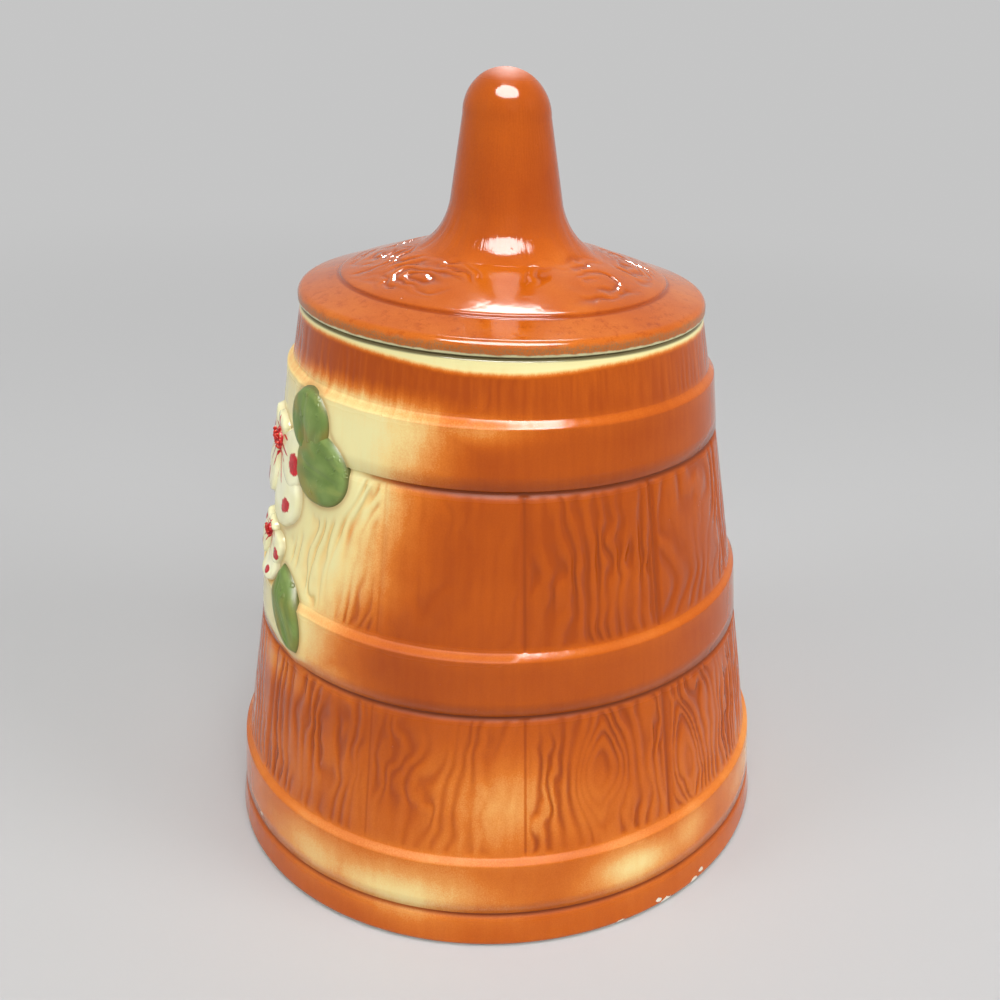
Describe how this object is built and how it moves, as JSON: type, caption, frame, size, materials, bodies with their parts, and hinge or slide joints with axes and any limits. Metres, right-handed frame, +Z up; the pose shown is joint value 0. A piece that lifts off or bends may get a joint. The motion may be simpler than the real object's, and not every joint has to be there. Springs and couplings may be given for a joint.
{
  "type": "cookie jar",
  "caption": "Glazed ceramic cookie jar shaped as a tapering staved butter churn with moulded hoops, a raised flower spray and a loose lid with a tall hollow knob.",
  "frame": {"origin": "centre of the foot, on the surface that the jar stands on", "axes": "+Z up along the jar's axis, the flower spray faces -Y, +X to the right of someone who looks at the spray"},
  "size_m": [0.2018, 0.2018, 0.2625],
  "materials": {
    "orange_glaze": "glossy burnt-orange glaze, sprayed away to cream round the spray",
    "lid_glaze": "glossy burnt-orange glaze over moulded wood grain"
  },
  "bodies": {
    "jar": {"jar_body": "orange_glaze"},
    "lid": {"lid": "lid_glaze"}
  },
  "joints": [
    {"name": "lid_lift", "type": "slide", "parent": "jar", "child": "lid", "axis": [0, 0, 1], "range_m": [0, 0.1]}
  ]
}
